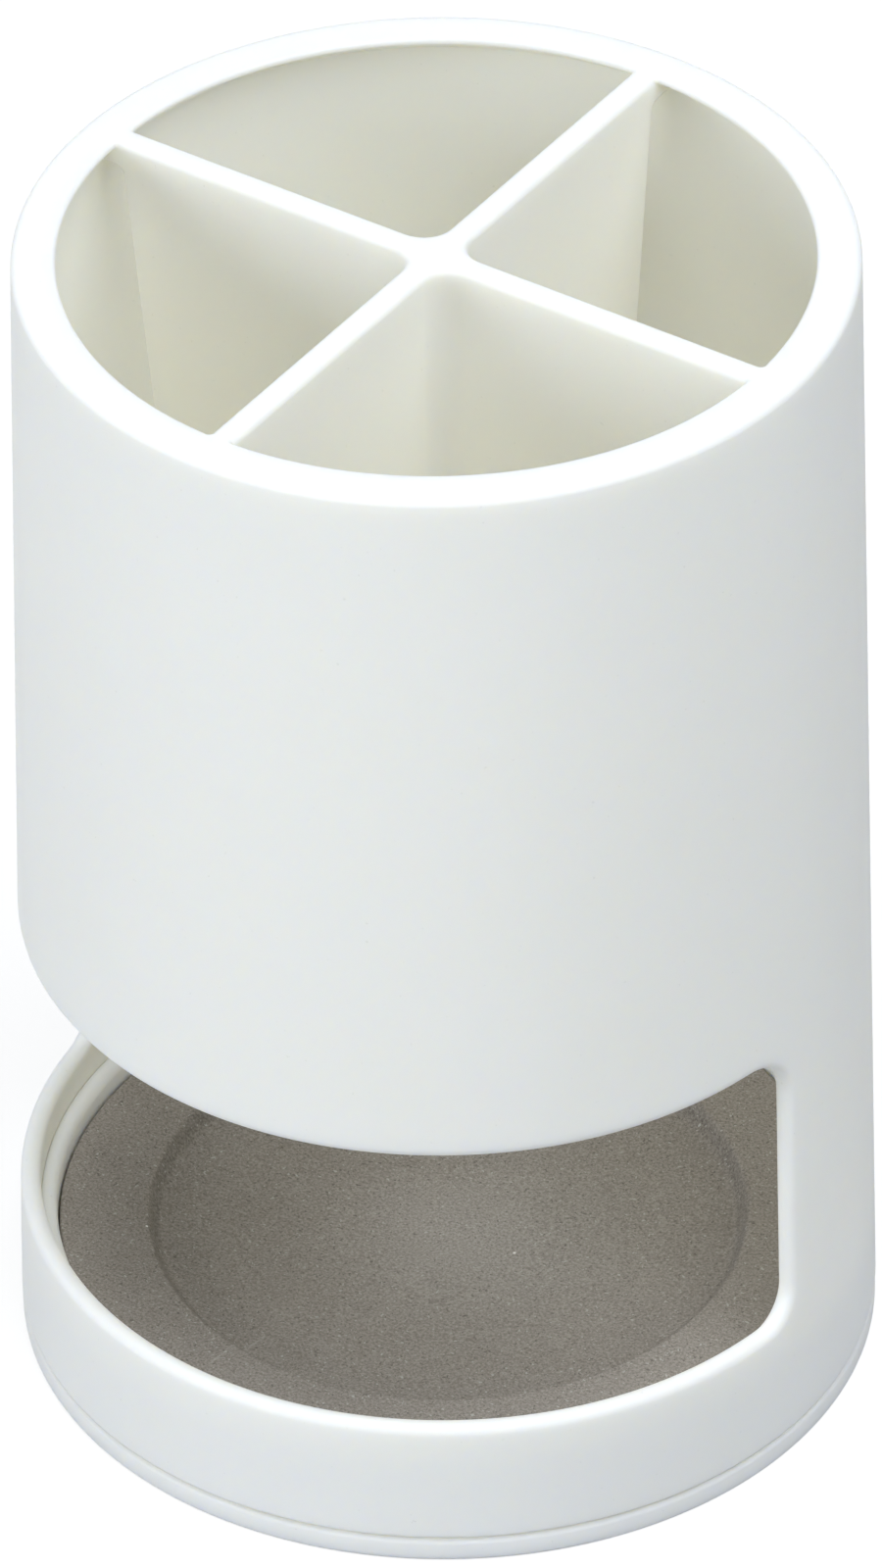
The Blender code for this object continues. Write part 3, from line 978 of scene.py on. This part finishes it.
def floor_finish():
    """A plain pale floor. To the camera and in reflections it is white where it is lit, and keeps shadows."""
    material = bpy.data.materials.new("pale_floor")
    material.use_nodes = True
    nodes, links = material.node_tree.nodes, material.node_tree.links
    nodes.clear()
    path = nodes.new("ShaderNodeLightPath")
    seen = path.outputs["Is Camera Ray"]
    for ray in ("Is Glossy Ray", "Is Transmission Ray"):
        either = nodes.new("ShaderNodeMath")
        either.operation = "MAXIMUM"
        links.new(seen, either.inputs[0])
        links.new(path.outputs[ray], either.inputs[1])
        seen = either.outputs[0]
    plain = nodes.new("ShaderNodeBsdfDiffuse")
    plain.inputs["Color"].default_value = (*FLOOR_TONE, 1.0)
    shaded = nodes.new("ShaderNodeBsdfDiffuse")
    shaded.inputs["Color"].default_value = (*SHADED_TONE, 1.0)
    glow = nodes.new("ShaderNodeEmission")
    glow.inputs["Strength"].default_value = FLOOR_GLOW
    both = nodes.new("ShaderNodeAddShader")
    links.new(shaded.outputs[0], both.inputs[0])
    links.new(glow.outputs[0], both.inputs[1])
    choice = nodes.new("ShaderNodeMixShader")
    links.new(seen, choice.inputs[0])
    links.new(plain.outputs[0], choice.inputs[1])
    links.new(both.outputs[0], choice.inputs[2])
    out = nodes.new("ShaderNodeOutputMaterial")
    links.new(choice.outputs[0], out.inputs[0])
    return material


# Studio

def add_floor():
    mesh = bpy.data.meshes.new("floor")
    reach, z = FLOOR_REACH * MM, -FLOOR_DROP * MM
    corners = [(-reach, -reach, z), (reach, -reach, z), (reach, reach, z), (-reach, reach, z)]
    mesh.from_pydata(corners, [], [(0, 1, 2, 3)])
    mesh.materials.append(floor_finish())
    floor = bpy.data.objects.new("floor", mesh)
    bpy.context.scene.collection.objects.link(floor)


def direction(azimuth, elevation):
    """Outwards from the stand, by degrees to the right of the window's middle and degrees up."""
    a, e = math.radians(azimuth), math.radians(elevation)
    return Vector((math.sin(a) * math.cos(e), -math.cos(a) * math.cos(e), math.sin(e)))


def add_lamp(name, side, elevation, power):
    """A soft square lamp that faces the stand, side degrees round from the camera."""
    towards = direction(CAMERA_AZIMUTH + side, elevation)
    light = bpy.data.lights.new(name, "AREA")
    light.shape = "SQUARE"
    light.size = LAMP_SIZE * MM
    light.energy = power
    light.color = LIGHT
    lamp = bpy.data.objects.new(name, light)
    lamp.location = (CAMERA_TARGET + towards * LAMP_DISTANCE) * MM
    lamp.rotation_euler = (-towards).to_track_quat("-Z", "Y").to_euler()
    lamp.visible_camera = False
    bpy.context.scene.collection.objects.link(lamp)


def add_world():
    """Even light from all round; the camera sees white."""
    world = bpy.data.worlds.new("studio")
    bpy.context.scene.world = world
    world.use_nodes = True
    nodes, links = world.node_tree.nodes, world.node_tree.links
    even = nodes["Background"]
    even.inputs["Color"].default_value = (*LIGHT, 1.0)
    even.inputs["Strength"].default_value = EVEN_LIGHT
    white = nodes.new("ShaderNodeBackground")
    white.inputs["Color"].default_value = (1.0, 1.0, 1.0, 1.0)
    path = nodes.new("ShaderNodeLightPath")
    choice = nodes.new("ShaderNodeMixShader")
    links.new(path.outputs["Is Camera Ray"], choice.inputs[0])
    links.new(even.outputs[0], choice.inputs[1])
    links.new(white.outputs[0], choice.inputs[2])
    links.new(choice.outputs[0], nodes["World Output"].inputs["Surface"])


def add_camera():
    """The camera as fitted to the photograph."""
    data = bpy.data.cameras.new("camera")
    data.sensor_width = SENSOR
    data.lens = FOCAL_PIXELS / IMAGE_HEIGHT * SENSOR
    data.clip_start = CLIP_NEAR * MM
    data.clip_end = CLIP_FAR * MM
    camera = bpy.data.objects.new("camera", data)
    bpy.context.scene.collection.objects.link(camera)
    back = direction(CAMERA_AZIMUTH, CAMERA_ELEVATION)
    azimuth = math.radians(CAMERA_AZIMUTH)
    level = Vector((math.cos(azimuth), math.sin(azimuth), 0.0))
    upright = back.cross(level)
    right = math.cos(CAMERA_ROLL) * level + math.sin(CAMERA_ROLL) * upright
    up = math.cos(CAMERA_ROLL) * upright - math.sin(CAMERA_ROLL) * level
    # aim at the middle of the picture instead of shifting the lens
    aim = -back
    aim += (IMAGE_WIDTH / 2 - PRINCIPAL[0]) / FOCAL_PIXELS * right
    aim -= (IMAGE_HEIGHT / 2 - PRINCIPAL[1]) / FOCAL_PIXELS * up
    aim.normalize()
    right = (right - right.dot(aim) * aim).normalized()
    up = right.cross(aim)
    matrix = Matrix((right, up, -aim)).transposed().to_4x4()
    matrix.translation = (CAMERA_TARGET + back * CAMERA_DISTANCE) * MM
    camera.matrix_world = matrix
    bpy.context.scene.camera = camera


# Pieces

def make_tube(material):
    mesh = bpy.data.meshes.new("stand_tube")
    bm = tube_shape()
    bm.to_mesh(mesh)
    bm.free()
    return finish_mesh("stand_tube", mesh, material)


def make_tray(material):
    return finish_mesh("stand_tray", turned_piece("stand_tray", TRAY_SIZES, TRAY_CORNERS, material), material)


def make_dish(material):
    mesh = turned_piece("diatomite_tray_dish", DISH_SIZES, DISH_CORNERS, material, DISH_CROWN)
    return finish_mesh("diatomite_tray_dish", mesh, material)


# The scene

add_camera()
add_floor()
add_world()
for lamp_name, side, elevation, power in LAMPS:
    add_lamp(lamp_name, side, elevation, power)

plastic = white_plastic()
stone = grey_diatomite()

tube = make_tube(plastic)
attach(tube, "tube")
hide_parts("body")

tray = make_tray(plastic)
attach(tray, "tray")
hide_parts("base_tray")

dish = make_dish(stone)
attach(dish, "dish")
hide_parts("diatomite_dish")

bpy.context.scene.view_settings.view_transform = "Standard"
bpy.context.scene.cycles.diffuse_bounces = DIFFUSE_BOUNCES
